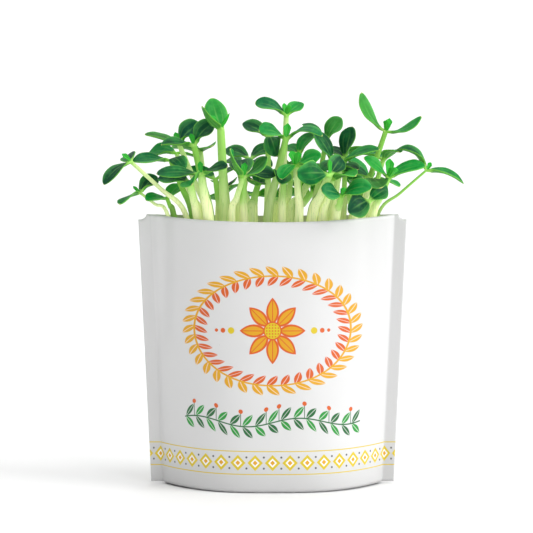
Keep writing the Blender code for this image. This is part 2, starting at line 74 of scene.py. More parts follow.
# %% Camera
PICTURE = 533  # pixels along each side of the photograph
PIXELS_PER_METRE = 1914.0  # at the pouch
MIDDLE_COLUMN = 272.5  # of the pouch's middle
FOOT_ROW = 484.7  # of the spot that it stands on
ELEVATION = math.radians(6.0)
DISTANCE = 1.6

aim_x = (PICTURE / 2 - MIDDLE_COLUMN) / PIXELS_PER_METRE
aim_z = (FOOT_ROW - PICTURE / 2) / PIXELS_PER_METRE / math.cos(ELEVATION)
lens = bpy.data.cameras.new("camera")
lens.sensor_width = 36.0
lens.lens = lens.sensor_width * DISTANCE * PIXELS_PER_METRE / PICTURE
camera = placed("camera", lens)
camera.location = (aim_x, -DISTANCE * math.cos(ELEVATION), aim_z + DISTANCE * math.sin(ELEVATION))
camera.rotation_euler = (math.pi / 2 - ELEVATION, 0.0, 0.0)
bpy.context.scene.camera = camera
print("camera: focal length", round(lens.lens, 1), "mm")

# %% [markdown]
# ## Sums in node trees
# The film, the leaves and the soil all need formulas inside node trees. Written node
# by node they could not be read, so one small class wraps a socket and gives it
# Python's operators. The same class serves materials and Geometry Nodes.


# %% A socket that takes part in arithmetic
def plug(tree, place, value):
    """Gives an input a link or a plain value."""
    if isinstance(value, Wire):
        tree.links.new(value.socket, place)
    else:
        place.default_value = value


def calculate(tree, operation, *values):
    node = tree.nodes.new("ShaderNodeMath")
    node.operation = operation
    for place, value in zip(node.inputs, values):
        plug(tree, place, value)
    return Wire(tree, node.outputs[0])


def with_other(operation):
    return lambda self, other: calculate(self.tree, operation, self, other)


def reflected(operation):
    return lambda self, other: calculate(self.tree, operation, other, self)


def alone(operation):
    return lambda self: calculate(self.tree, operation, self)


class Wire:
    """One output socket of a tree; each operator adds a Math node behind it."""

    __add__, __radd__ = with_other("ADD"), reflected("ADD")
    __sub__, __rsub__ = with_other("SUBTRACT"), reflected("SUBTRACT")
    __mul__, __rmul__ = with_other("MULTIPLY"), reflected("MULTIPLY")
    __truediv__, __rtruediv__ = with_other("DIVIDE"), reflected("DIVIDE")
    __pow__ = with_other("POWER")
    __abs__ = alone("ABSOLUTE")
    at_least = with_other("MAXIMUM")
    at_most = with_other("MINIMUM")
    angle = with_other("ARCTAN2")
    sine = alone("SINE")
    rounded = alone("ROUND")
    root = alone("SQRT")

    def __init__(self, tree, socket):
        self.tree = tree
        self.socket = socket

    def bell(self):
        """exp(-x * x), a smooth hump one unit wide round zero."""
        return calculate(self.tree, "EXPONENT", self * self * -1.0)

    def step(self, low, high, start=0.0, stop=1.0):
        """Smooth step from start, where the value is low, to stop, where it is high."""
        ends = {"Value": self, "From Min": low, "From Max": high, "To Min": start, "To Max": stop}
        return Web(self.tree).get("ShaderNodeMapRange", ends, interpolation_type="SMOOTHSTEP")


# %% A tree with one method for any node
class Web:
    """A node tree and the few kinds of node that are used again and again."""

    def __init__(self, tree):
        self.tree = tree

    def add(self, kind, sockets=None, **settings):
        """Any node: its type, the values or links of its sockets, and its settings by name."""
        node = self.tree.nodes.new(kind)
        for name, value in settings.items():
            setattr(node, name, value)
        for name, value in (sockets or {}).items():
            plug(self.tree, node.inputs[name], value)
        return node

    def get(self, kind, sockets=None, output=0, **settings):
        """The same, and one of its outputs as a wire."""
        return Wire(self.tree, self.add(kind, sockets, **settings).outputs[output])

    def noise(self, vector, scale, detail, roughness):
        sockets = {"Vector": vector, "Scale": scale, "Detail": detail, "Roughness": roughness}
        return self.get("ShaderNodeTexNoise", sockets)

    def parts(self, vector):
        """The three numbers of a vector."""
        node = self.add("ShaderNodeSeparateXYZ", {"Vector": vector})
        return [Wire(self.tree, node.outputs[k]) for k in range(3)]

    def vector(self, x, y, z):
        return self.get("ShaderNodeCombineXYZ", {"X": x, "Y": y, "Z": z})

    def stretched(self, vector, x, y, z):
        """A vector with its three numbers scaled."""
        return self.get("ShaderNodeVectorMath", {0: vector, 1: (x, y, z)}, operation="MULTIPLY")


# %% [markdown]
# ## Materials
# Every finish here is a Principled shader whose colour, roughness and bump follow
# noise or the piece's own marks. Colours are written as the eye meets them on a
# screen and turned into the linear values that the shader works in.


# %% A material and its colours
def tint(red, green, blue):
    """A linear colour from screen values of 0 to 255."""
    def linear(value):
        share = value / 255.0
        return share / 12.92 if share <= 0.04045 else ((share + 0.055) / 1.055) ** 2.4
    return (linear(red), linear(green), linear(blue), 1.0)


def grey(level):
    return (level, level, level, 1.0)


class Finish(Web):
    """A material with a Principled shader."""

    def __init__(self, name):
        self.material = bpy.data.materials.new(name)
        self.material.use_nodes = True
        super().__init__(self.material.node_tree)
        self.shader = self.tree.nodes["Principled BSDF"]

    def place(self):
        """The piece's own coordinates in metres."""
        return self.get("ShaderNodeTexCoord", output="Object")

    def mark(self, name):
        """The four numbers of a colour attribute stored on the mesh."""
        node = self.add("ShaderNodeAttribute", attribute_name=name)
        three = self.add("ShaderNodeSeparateColor", {"Color": Wire(self.tree, node.outputs["Color"])})
        sockets = [three.outputs[k] for k in range(3)] + [node.outputs["Alpha"]]
        return [Wire(self.tree, socket) for socket in sockets]

    def mix(self, factor, first, second):
        sockets = {0: factor, 6: first, 7: second}
        return self.get("ShaderNodeMix", sockets, 2, data_type="RGBA", clamp_factor=True)

    def coats(self, base, *layers):
        """Shades laid one after another over a base, each with its mask."""
        for mask, shade in layers:
            base = self.mix(mask, base, tint(*shade) if len(shade) == 3 else shade)
        return base

    def set(self, values):
        """Values or wires for the shader's inputs."""
        for name, value in values.items():
            plug(self.tree, self.shader.inputs[name], value)

    def bump(self, height, distance, strength):
        sockets = {"Height": height, "Distance": distance, "Strength": strength}
        self.set({"Normal": self.get("ShaderNodeBump", sockets)})


# %% [markdown]
# ## Film pouch
# The pouch is two panels of laminate film, welded together down both sides and
# spread apart by a gusset at the foot. One panel bulges from nothing at its seals to
# about 30 mm at the foot and 18 mm at the mouth. That is a rule, so Geometry Nodes
# draw it: a flat grid whose points are moved by the formula. A cloth simulation could
# also blow a pouch up, but its mouth and foot would not stay where the frame has them.

# %% Sizes of the film
panel_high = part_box("pouch_front_panel")[1]
TOP_HALF = panel_high.x  # half width over the seals at the top
FOOT_HALF = TOP_HALF - 6.25 * MM
HEIGHT = 142.5 * MM  # to the corners of the torn edge
SEAL = 6.3 * MM
FOOT_BULGE = 30.0 * MM
MOUTH_BULGE = 18.5 * MM
FULLNESS = 12.0 * MM  # how round the bulge is from foot to mouth
SAG = 2.9 * MM
CURL_TALL = 3.0 * MM  # of the free edge at the foot
CURL_DEEP = 0.9 * MM
NOTCH_WIDE = 4.3 * MM
NOTCH_TALL = 3.2 * MM
CAD_FILM = 0.6 * MM  # thickness of the frame's panels
FILM = 0.3 * MM  # thickness drawn here
STAND_OFF = (CAD_FILM - FILM) / 2 + 0.45 * MM  # this skin lies near the solid's outside
EDGE_HEIGHT = 0.4 * MM  # of the foot's edge in the middle
EDGE_RISE = 0.8 * MM  # and how much higher it is at the seals
print("film: half width", round(TOP_HALF / MM, 2), "mm, top of the frame's panel",
      round(panel_high.z / MM, 2), "mm")


# %% Formulas of the film
def half_width(z):
    return FOOT_HALF + (TOP_HALF - FOOT_HALF) * (z / HEIGHT)


def bulge_at(v):
    """How far a panel's middle stands out; v runs from 0 at the foot to 1 at the top."""
    first = (v**3.0) * 2.0 - (v**2.0) * 3.0 + 1.0
    slope_in = (v**3.0) - (v**2.0) * 2.0 + v
    slope_out = (v**3.0) - (v**2.0)
    return first * FOOT_BULGE + (1.0 - first) * MOUTH_BULGE + (slope_in - slope_out) * FULLNESS


def foot_edge(x):
    return EDGE_HEIGHT + (x / FOOT_HALF) ** 2.0 * EDGE_RISE


def across_share(x, z):
    """0 in the middle of a panel, 1 at its seals."""
    return (abs(x) / (half_width(z) - SEAL)).at_most(1.0)


def plump(x, z):
    """How far a smooth panel stands out: a boxy section at the foot, a rounder one above."""
    v = z / HEIGHT
    return bulge_at(v) * (1.0 - across_share(x, z) ** (3.0 - 0.8 * v))


# %% [markdown]
# The torn edge hangs a little in the middle and has a round bite at each corner,
# where the tear began. A tear is never quite clean, so the edge also wanders by a
# tenth of a millimetre or two. The film has soft vertical dents on the left, where
# the load inside doesn't fill it, and its free edge at the foot curls in. The tree
# also stores a map for the print. Its x is unrolled along the bulge, or the motifs
# would look squeezed toward the seals.


# %% Film panel tree
# Each dent: place and lean in x, width, heights (shares) where it starts and is full, depth.
DENTS = ((-56.0, 0.0, 3.6, 0.42, 0.66, 2.1),
         (-43.0, -4.0, 5.0, 1.1, 0.1, 0.35),
         (49.0, 0.0, 4.0, 0.30, 0.95, 0.35))
MAP_UNIT = 100.0 * MM  # one unit of the print's own map


def new_tree(name, inputs):
    """An empty Geometry Nodes tree with named inputs; returns it with their wires."""
    tree = bpy.data.node_groups.new(name, "GeometryNodeTree")
    tree.interface.new_socket("Geometry", in_out="INPUT", socket_type="NodeSocketGeometry")
    tree.interface.new_socket("Geometry", in_out="OUTPUT", socket_type="NodeSocketGeometry")
    for label, value in inputs.items():
        kind = {int: "Int", float: "Float", bpy.types.Material: "Material"}[type(value)]
        socket = tree.interface.new_socket(label, in_out="INPUT", socket_type="NodeSocket" + kind)
        socket.default_value = value
    source = tree.nodes.new("NodeGroupInput")
    wires = {socket.name: Wire(tree, socket) for socket in source.outputs if socket.name}
    return Web(tree), wires


def close_tree(web, geometry, material):
    """The finished tree, which ends in one plain mesh with its material."""
    real = web.get("GeometryNodeRealizeInstances", {"Geometry": geometry})
    dressed = web.get("GeometryNodeSetMaterial", {"Geometry": real, "Material": material})
    web.add("NodeGroupOutput", {0: dressed})
    return web.tree


def flat_grid(web, given, deep):
    """A grid 2 by `deep`, and the two numbers of each of its points."""
    sizes = {"Size X": 2.0, "Size Y": deep, "Vertices X": given["Columns"], "Vertices Y": given["Rows"]}
    p, q, _ = web.parts(web.get("GeometryNodeInputPosition"))
    return web.get("GeometryNodeMeshGrid", sizes, "Mesh"), p, q


def close_moved(web, geometry, x, y, z, material):
    """The finished tree, with every point moved to x, y, z."""
    sockets = {"Geometry": geometry, "Position": web.vector(x, y, z)}
    return close_tree(web, web.get("GeometryNodeSetPosition", sockets), material)


def top_edge(web, x, sag, seed):
    """Height of the torn edge at x, with its bites and its small wander."""
    left = (TOP_HALF - abs(x)).at_least(0.0)
    bite = (1.0 - (left / NOTCH_WIDE).at_most(1.0) ** 2.0).at_least(0.0).root()
    rough = web.noise(web.vector(x, seed, 0.0), 700.0, 3.0, 0.6) - 0.5
    near = left.step(9.0 * MM, 2.0 * MM, 0.3, 1.0)
    low = sag * (1.0 - (x / TOP_HALF) ** 2.0)
    return HEIGHT - low - bite * NOTCH_TALL + rough * near * (0.7 * MM)


def panel_depth(web, x, z, dent):
    """Distance of the panel's mid-surface from the seal plane."""
    v = z / HEIGHT
    wave = web.noise(web.vector(x, 0.0, z * 0.45), 26.0, 1.0, 0.4) - 0.5
    sunk = wave * (1.0 - across_share(x, z) ** 4.0) * (-0.5 * MM)
    for middle_x, lean, width, start, full, depth in DENTS:
        off = (x - middle_x * MM - v * (lean * MM)) / (width * MM)
        sunk = sunk + off.bell() * v.step(start, full) * (depth * MM)
    out = (plump(x, z) - sunk * dent).at_least(0.0)
    stand = out.step(0.0, 2.5 * MM) * STAND_OFF
    curl = (1.0 - z / CURL_TALL).at_least(0.0) ** 2.0 * out.step(1.0 * MM, 5.0 * MM) * CURL_DEEP
    return out + stand.at_least(FILM / 2 + 0.01 * MM) - curl


def film_panel_tree(film):
    inputs = {"Side": 1.0, "Sag": SAG, "Dent": 1.0, "Columns": 221, "Rows": 90, "Seed": 3.0, "Film": film}
    web, given = new_tree("film_panel", inputs)
    grid, p, v = flat_grid(web, given, 1.0)
    v = v + 0.5
    x = p * half_width(v * HEIGHT)
    low = foot_edge(x)
    z = low + (top_edge(web, p * TOP_HALF, given["Sag"], given["Seed"]) - low) * v
    y = panel_depth(web, x, z, given["Dent"]) * given["Side"]
    lean = bulge_at(v) / (half_width(z) - SEAL) * 2.6
    unrolled = x * (1.0 + lean * lean * across_share(x, z) ** 3.2 * 0.12)
    place = web.vector(unrolled * (1.0 / MAP_UNIT), z * (1.0 / MAP_UNIT), 0.0)
    stored = web.get("GeometryNodeStoreNamedAttribute", {"Geometry": grid, "Name": "film", "Value": place},
                     data_type="FLOAT2", domain="CORNER")
    return close_moved(web, stored, x, y, z, given["Film"])


# %% [markdown]
# A tree is put on an object as a modifier, its inputs are set by their identifiers,
# and the evaluated result is copied into a plain mesh. From then on the piece is an
# ordinary mesh that needs no modifier.


# %% From a tree to a plain mesh
def grown(name, tree, values, start=None, extra=None):
    """A plain mesh object from a tree, with an optional start mesh and later modifiers."""
    start = start or bpy.data.meshes.new(name + "_start")
    maker = placed(name + "_maker", start)
    modifier = maker.modifiers.new("tree", "NODES")
    modifier.node_group = tree
    for socket in tree.interface.items_tree:
        if socket.in_out == "INPUT" and socket.name in values:
            modifier[socket.identifier] = values[socket.name]
    if extra:
        extra(maker)
    settled = maker.evaluated_get(bpy.context.evaluated_depsgraph_get())
    mesh = bpy.data.meshes.new_from_object(settled)
    mesh.name = name
    bpy.data.objects.remove(maker)
    return placed(name, mesh)


def thicken(maker):
    """Film thickness, half to each side of the drawn surface."""
    wall = maker.modifiers.new("wall", "SOLIDIFY")
    wall.thickness = FILM
    wall.offset = 0.0
    wall.use_even_offset = True


def opened(mesh, gap=0.0):
    """A mesh opened for editing; points closer than the gap are merged."""
    shape = bmesh.new()
    shape.from_mesh(mesh)
    if gap:
        bmesh.ops.remove_doubles(shape, verts=shape.verts, dist=gap)
    return shape


def closed(shape, mesh):
    """Writes the shape into a mesh and frees it."""
    shape.to_mesh(mesh)
    shape.free()
    return mesh


def outward(obj):
    """Faces turned to point outwards, and shaded smooth."""
    skin = opened(obj.data, 0.0001 * MM)
    bmesh.ops.recalc_face_normals(skin, faces=skin.faces)
    closed(skin, obj.data).shade_smooth()


def attach(obj, finish, slot, *nodes):
    """Dresses a piece, lets it ride on the root and stand for its CAD nodes."""
    obj.data.materials.clear()
    obj.data.materials.append(finish.material)
    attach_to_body(obj, "root")
    if nodes:
        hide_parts(*nodes)


# %% [markdown]
# ## Print on the front
# White film with a print in golden yellow, orange, green and lemon. The design here
# is a plain one drawn with formulas: an oval wreath round a flower, a leafy garland
# and a row of lozenges. Each motif is one shape, repeated by folding the coordinate
# along its line, so the whole print needs no image.

# %% Print formulas
GOLD = tint(214, 156, 0)
ORANGE = tint(206, 86, 8)
LEAF_INK = tint(20, 142, 46)
DEEP_INK = tint(8, 96, 42)
LEMON = tint(210, 186, 16)
GREY_INK = tint(84, 84, 84)
PALE_WARM = (0.90, 0.90, 0.88, 1.0)
PALE_GREEN = (0.85, 0.88, 0.82, 1.0)
PALE_HEART = (0.88, 0.88, 0.86, 1.0)
EDGE = 0.12  # softness of an ink edge, mm


def inked(inside):
    """Mask of where a distance in millimetres is positive."""
    return inside.step(-EDGE, EDGE)


def distance(x, y):
    return (x * x + y * y).root()


def lens_shape(along, across, length, width):
    """Positive inside a leaf outline with half length and half width."""
    return width * (1.0 - (along / length) ** 2.0) - abs(across)


def folded(value, spacing):
    """The coordinate within its own repeat, and the number of the repeat."""
    number = (value / spacing).rounded()
    return value - number * spacing, number


def round_about(x, y, count):
    """Distance from the middle, and the place within one of the repeats round it."""
    turn = y.angle(x) * (count / (2.0 * math.pi))
    return distance(x, y), folded(turn, 1.0)[0]


def leaf_pair(along, out, gap, degrees, length, width):
    """Masks of a leaf to each side of a stem, and of the veins of both."""
    leaves, veins = [], []
    for way in (1.0, -1.0):
        c, s = math.cos(math.radians(degrees)), math.sin(math.radians(degrees * way))
        across = out - gap * way
        side = across * c - along * s
        leaves.append(inked(lens_shape(along * c + across * s, side, length, width)))
        veins.append(leaves[-1] * inked(0.16 - abs(side)))
    return leaves[0], leaves[1], veins[0].at_least(veins[1])


def wreath(look, colour, u, v):
    """Oval of paired leaves in gold and orange."""
    radius, along = round_about(u / 42.0, (v - 84.0) / 28.0, 36.0)
    out = (radius - 1.0) * 34.0
    outer, inner, veins = leaf_pair(along * 6.2, out, 2.9, 52.0, 4.2, 1.75)
    stem = inked(0.5 - abs(out))
    return look.coats(colour, (outer, GOLD), (inner, ORANGE), (veins * 0.55, PALE_WARM), (stem, GOLD))


def flower(look, colour, u, v):
    """Eight orange petals with a golden heart, and three dots to each side."""
    dy = v - 84.0
    radius, along = round_about(u, dy, 8.0)
    side = along * radius * (2.0 * math.pi / 8.0)
    petal = lens_shape(radius - 10.0, side, 7.0, 3.4)
    core = inked(petal - 1.1)
    spots = 0.38 - distance(folded(u, 1.5)[0], folded(dy, 1.5)[0])
    dots = [(inked(size - distance(abs(u) - place, dy)), shade)
            for place, size, shade in ((21.5, 1.7, LEMON), (25.8, 1.25, ORANGE), (29.3, 0.9, ORANGE))]
    return look.coats(
        colour, (inked(petal), ORANGE), (core, GOLD), (core * inked(0.22 - abs(side)), ORANGE),
        (inked(4.4 - radius), LEMON), (inked(0.35 - abs(radius - 4.4)), ORANGE),
        (inked(spots) * inked(3.6 - radius), ORANGE), *dots)


def garland(look, colour, u, v):
    """A wavy stem with paired leaves and small round buds."""
    line = v - 37.0 - (u * (2.0 * math.pi / 54.0)).sine() * 2.2
    along, number = folded(u, 6.6)
    ends = inked(49.5 - abs(u))
    upper, lower, veins = leaf_pair(along - 0.3, line, 3.1, 48.0, 4.0, 1.5)
    odd = abs(number) - (abs(number) * 0.5 - 0.25).rounded() * 2.0
    wide, _ = folded(abs(u) - 3.3, 13.2)
    bud = inked(1.15 - distance(wide, line - 7.6))
    stalk = inked(0.2 - abs(wide)) * inked(3.2 - abs(line - 3.4))
    return look.coats(
        colour, (upper * ends, LEAF_INK), (lower * ends, DEEP_INK), (upper * ends * odd, DEEP_INK),
        (lower * ends * odd, LEAF_INK), (veins * ends * 0.6, PALE_GREEN),
        (inked(0.34 - abs(line)) * ends, DEEP_INK), (stalk * ends, DEEP_INK), (bud * ends, ORANGE))


def lozenges(look, colour, u, v):
    """A row of lemon lozenges between two fine lines near the foot."""
    along, _ = folded(u, 9.0)
    between, _ = folded(u - 4.5, 9.0)
    height = v - 16.0
    inside = (1.0 - abs(along) / 4.0 - abs(height) / 4.2) * 2.8
    dots = [(inked(0.55 - distance(between, height - level)), GREY_INK) for level in (2.9, -2.9)]
    return look.coats(
        colour, (inked(inside), LEMON), (inked(inside - 1.2), PALE_HEART),
        (inked(inside - 1.9), GOLD), *dots, (inked(0.25 - abs(abs(height) - 6.0)), LEMON))


# %% [markdown]
# The film itself is matte with a soft sheen. Its colour also carries painted shade: it is
# greyer down the side seals and darker toward the foot. Under a lamp it shows a faint
# orange peel and the slight difference between bare film and ink, so both feed
# roughness.


# %% Film finish
CLEAN_FILM = (grey(0.640), (0.670, 0.670, 0.668, 1.0))
# Painted shade: a grey for the side seals and a darker grey toward the foot.
SEAL_SHADE_FILM = grey(0.60)
FOOT_SHADE_FILM = grey(0.46)


def film_finish(name, motifs):
    look = Finish(name)
    place = look.place()
    cloud = look.noise(place, 38.0, 3.0, 0.5)
    fine = look.noise(place, 1500.0, 2.0, 0.5)
    rough = 0.40 + cloud * 0.08
    x, _, z = look.parts(place)
    # Painted shade, greyer on the side seals and darker over the lowest few centimetres.
    seal_shade = (abs(x) - half_width(z) + SEAL).step(-0.4 * MM, 0.4 * MM)
    foot_shade = z.step(26.0 * MM, 1.0 * MM) * 0.55
    colour = look.coats(look.mix(cloud, *CLEAN_FILM), (seal_shade, SEAL_SHADE_FILM), (foot_shade, FOOT_SHADE_FILM))
    if motifs:
        uv = look.get("ShaderNodeUVMap", uv_map="film")
        u, v, _ = look.parts(look.stretched(uv, MAP_UNIT / MM, MAP_UNIT / MM, 1.0))
        plain = colour
        for motif in motifs:
            colour = motif(look, colour, u, v)
        gap = look.get("ShaderNodeVectorMath", {0: plain, 1: colour}, "Value", operation="DISTANCE")
        rough = rough - gap.step(0.05, 0.3) * 0.08
    look.set({"Base Color": colour, "Roughness": rough, "Coat Weight": 0.12, "Coat Roughness": 0.28})
    look.bump(fine * 0.35 + look.noise(place, 260.0, 2.0, 0.4), 0.00006, 0.45)
    return look


printed_film = film_finish("printed_film", [wreath, flower, garland, lozenges])
back_film = film_finish("back_film", [lozenges])
plain_film = film_finish("plain_film", [])

# %% Front and back panels
panel_tree = film_panel_tree(printed_film.material)
for name, node, side, dent, seed, finish in (
        ("film_front", "pouch_front_panel", -1.0, 1.0, 3.0, printed_film),
        ("film_back", "pouch_back_panel", 1.0, 0.6, 8.0, back_film)):
    values = {"Side": side, "Dent": dent, "Seed": seed, "Film": finish.material}
    panel = grown(name, panel_tree, values, extra=thicken)
    outward(panel)
    attach(panel, finish, "pouch_film", node)
    print(name, len(panel.data.polygons), "faces")

# %% [markdown]
# ## Gusset
# The foot of the pouch is a third piece of film, folded up into it and welded to
# both panels. Only its underside shows. It lies flat in the middle and rises to the
# side seals, which is another rule for a grid.


# %% Gusset tree
GUSSET_EDGE = 5.0 * MM  # height of its edge in the middle
GUSSET_RISE = 20.0 * MM  # from there up to the side seals
GUSSET_SHORT = 3.0 * MM  # it ends this far from the seals
GUSSET_GAP = 0.55 * MM  # and this far inside the panels


def gusset_tree():
    inputs = {"Columns": 121, "Rows": 49, "Flat Share": 0.45, "Rise": GUSSET_RISE,
              "Film": plain_film.material}
    web, given = new_tree("foot_gusset", inputs)
    grid, p, q = flat_grid(web, given, 2.0)
    reach = FOOT_HALF - SEAL
    x = p * (reach - GUSSET_SHORT)
    edge = GUSSET_EDGE + abs(x / reach) ** 3.0 * given["Rise"]
    y = q * (plump(x, edge) - GUSSET_GAP).at_least(0.5 * MM)
    out = distance(x / reach, q)
    z = edge * out.step(given["Flat Share"], 1.0) + FILM / 2
    return close_moved(web, grid, x, y, z, given["Film"])


gusset = grown("film_gusset", gusset_tree(), {}, extra=thicken)
outward(gusset)
attach(gusset, plain_film, "gusset_film", "bottom_gusset")
print("gusset:", len(gusset.data.polygons), "faces")

# %% [markdown]
# ## Growing medium
# The plants root in moist coir, dark brown and crumbly. Its CAD solid has the right
# shape and stays, with a better finish. What it lacks is the loose surface, so
# crumbs and fibres are scattered over its top by Geometry Nodes from a fixed seed.


# %% Coir finish
def coir_finish():
    look = Finish("coir")
    place = look.place()
    coarse = look.noise(place, 340.0, 4.0, 0.65)
    strand = look.noise(look.stretched(place, 300.0, 2200.0, 500.0), 1.0, 3.0, 0.6)
    colour = look.coats(look.mix(coarse.step(0.35, 0.70), tint(44, 28, 18), tint(104, 70, 44)),
                        (strand.step(0.60, 0.72) * 0.8, (150, 112, 72)))
    look.set({"Base Color": colour, "Roughness": 0.80 + coarse * 0.18})
    look.bump(coarse + strand * 0.6, 0.0009, 0.9)
    return look


coir = coir_finish()
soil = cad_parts["growing_medium"]
soil.data.materials.clear()
soil.data.materials.append(coir.material)


# %% Crumbs and fibres
def scattered(web, base, source, density, small, large, seed):
    """Copies of a small mesh on random points, each turned and sized at random."""
    def chance(low, high):
        sockets = {"Min": (low,) * 3, "Max": (high,) * 3, "Seed": seed}
        return web.get("FunctionNodeRandomValue", sockets, data_type="FLOAT_VECTOR")

    spread = {"Mesh": base, "Density": density, "Seed": seed}
    copies = {"Points": web.get("GeometryNodeDistributePointsOnFaces", spread, "Points"),
              "Instance": source, "Scale": chance(small, large),
              "Rotation": web.get("FunctionNodeEulerToRotation", {"Euler": chance(0.0, 6.28)})}
    return web.get("GeometryNodeInstanceOnPoints", copies)


def crumb_tree():
    inputs = {"Crumb Density": 330000.0, "Fibre Density": 60000.0,
              "Crumb Size": 0.9 * MM, "Fibre Length": 5.0 * MM, "Seed": 5, "Coir": coir.material}
    web, given = new_tree("coir_crumbs", inputs)
    base = given["Geometry"]
    crumb = web.get("GeometryNodeMeshIcoSphere", {"Radius": given["Crumb Size"], "Subdivisions": 1})
    rod = {"Vertices": 4, "Side Segments": 1, "Radius": 0.12 * MM, "Depth": given["Fibre Length"]}
    fibre = web.get("GeometryNodeMeshCylinder", rod, fill_type="TRIANGLE_FAN")
    crumbs = scattered(web, base, crumb, given["Crumb Density"], 0.35, 1.1, given["Seed"])
    fibres = scattered(web, base, fibre, given["Fibre Density"], 0.4, 1.0, given["Seed"] + 7.0)
    both = web.add("GeometryNodeJoinGeometry")
    for part in (crumbs, fibres):
        web.tree.links.new(part.socket, both.inputs[0])
    return close_tree(web, Wire(web.tree, both.outputs[0]), given["Coir"])


def soil_surface():
    """The upward faces of the growing medium's top, as a start mesh for the scatter."""
    skin = opened(soil.data, 0.001 * MM)
    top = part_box("growing_medium")[1].z - 6.0 * MM
    away = [f for f in skin.faces if f.normal.z < 0.7 or f.calc_center_median().z < top]
    bmesh.ops.delete(skin, geom=away, context="FACES")
    return closed(skin, bpy.data.meshes.new("soil_surface"))


crumbs = grown("coir_crumbs", crumb_tree(), {}, start=soil_surface())
attach(crumbs, coir, "coir_medium")
print("coir:", len(crumbs.data.polygons), "faces of crumbs and fibres")

# %% [markdown]
# ## Reading a sprout
# Each CAD sprout is a tube of eight-point rings: up the stem, then out along each
# leaf to a tip. Welded, the mesh can be walked ring by ring, which gives the line and
# thickness of the stem and the middle, width and tilt of every leaf. The fine plant
# is then drawn on that skeleton, so it fills the same space as its CAD solid.

# %% Walking over a welded mesh
RING = 8
SEED_LEAF_RINGS = 5
TRUE_LEAF_RINGS = 2
ROOT_TIP = 1.2 * MM  # the stem's foot tapers off this far below its first ring


def neighbours(vertex):
    return [edge.other_vert(vertex) for edge in vertex.link_edges]


def next_layer(layer, seen):
    """The vertices one edge further on; seen grows by them."""
    found = []
    for vertex in layer:
        for other in neighbours(vertex):
            if other not in seen:
                seen.add(other)
                found.append(other)
    return found


def walk(apex, stop):
    """Rings of eight from an apex onwards, until one touches a vertex of stop."""
    seen = {apex}
    rings = []
    layer = next_layer([apex], seen)
    while len(layer) == RING and not stop.intersection(layer):
        rings.append(layer)
        layer = next_layer(layer, seen)
    return rings


def in_order(layer):
    """A ring's vertices in the order in which its edges join them."""
    path = [layer[0]]
    while len(path) < len(layer):
        path.append(next(v for v in neighbours(path[-1]) if v in layer and v not in path))
    return path


def middle(points):
    return sum((p.co for p in points), Vector()) / len(points)


# %% [markdown]
# A leaf ring is a flat oval: its two farthest points are the leaf's edges, and the
# two points between them are the middle of each face. Ten numbers hold it: centre,
# half width as a vector, half thickness as a vector, and how far the edges are
# lifted above the middle.


# %% Skeleton of a leaf
def leaf_stations(rings, tip, up, crown_ring):
    """One row of ten numbers for each ring, from the crown to the tip."""
    centres = [middle(ring) for ring in rings] + [tip.co]
    rows = []
    last = None
    for k, ring in enumerate(rings):
        path = in_order(ring)
        first = max(range(4), key=lambda i: (path[i].co - path[i + 4].co).length)
        edge_a, edge_b = path[first], path[first + 4]
        face_a, face_b = path[(first + 2) % RING], path[(first + 6) % RING]
        if last is None:
            near = [bool(crown_ring.intersection(neighbours(v))) for v in (face_a, face_b)]
            under_a = near[0] if near[0] != near[1] else (face_a.co - face_b.co).dot(up) < 0
        else:
            under_a = (face_a.co - face_b.co).dot(last) < 0
        top, under = (face_b, face_a) if under_a else (face_a, face_b)
        thick = (top.co - under.co) / 2
        along = centres[k + 1] - centres[k - 1] if k else centres[1] - centres[0]
        across = (edge_a.co - edge_b.co) / 2
        if across.dot(along.cross(thick)) < 0:
            across = -across
        centre = (top.co + under.co) / 2
        lift = ((edge_a.co + edge_b.co) / 2 - centre).dot(thick.normalized())
        rows.append([*centre, *across, *thick, lift])
        last = thick
    return np.array(rows)


def read_sprout(name):
    """Stem rings and leaves of one CAD sprout."""
    skin = opened(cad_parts[name].data, 0.001 * MM)
    root = min(skin.verts, key=lambda v: v.co.z)
    rings = walk(root, set())
    crown_ring = set(rings[-1])
    centres = [middle(ring) for ring in rings]
    radii = [sum((v.co - c).length for v in ring) / RING for ring, c in zip(rings, centres)]
    up = (centres[-1] - centres[-2]).normalized()
    leaves = {SEED_LEAF_RINGS: [], TRUE_LEAF_RINGS: []}
    for vertex in skin.verts:
        touching = set(neighbours(vertex))
        if len(touching) != RING or vertex is root or vertex in crown_ring or touching & crown_ring:
            continue
        found = walk(vertex, crown_ring)[::-1]
        if len(found) in leaves:
            rows = leaf_stations(found, vertex, up, crown_ring)
            leaves[len(found)].append((rows, np.array(vertex.co)))
    skin.free()
    root_tip = centres[0] - Vector((0, 0, ROOT_TIP))
    return {"centres": np.array(centres), "radii": np.array(radii), "root": np.array(root_tip),
            "seed": leaves[SEED_LEAF_RINGS], "true": leaves[TRUE_LEAF_RINGS]}


skeletons = {name: read_sprout(name) for name in SPROUTS}
pairs = sum(len(s["seed"]) == 2 for s in skeletons.values())
young = sum(len(s["true"]) for s in skeletons.values())
print("sprouts:", pairs, "with a pair of seed leaves,", young, "true leaves in all")

# %% [markdown]
# ## Drawing a sprout
# A skin is collected as rings of points, each joined to the one before by a band of
# quads. Beside every point go eight marks that the material reads: how far it is
# from stem to blade, its place along and across the leaf, which face it is on, and
# random numbers that make each leaf a little different. On a stem the first of these
# also holds painted shade: it is darker green the deeper the stem stands in the bunch.

# %% A skin made of rings
COLUMNS = 24
HALF = COLUMNS // 2
TURN = np.linspace(0.0, 2.0 * math.pi, COLUMNS, endpoint=False)
ACROSS = np.cos(TURN)  # 1 and -1 are a leaf's edges
FACE = -np.sign(np.sin(TURN)) * np.abs(np.sin(TURN)) ** 0.7  # -1 below, 1 above


def shifted(ring):
    return ring[1:] + ring[:1]


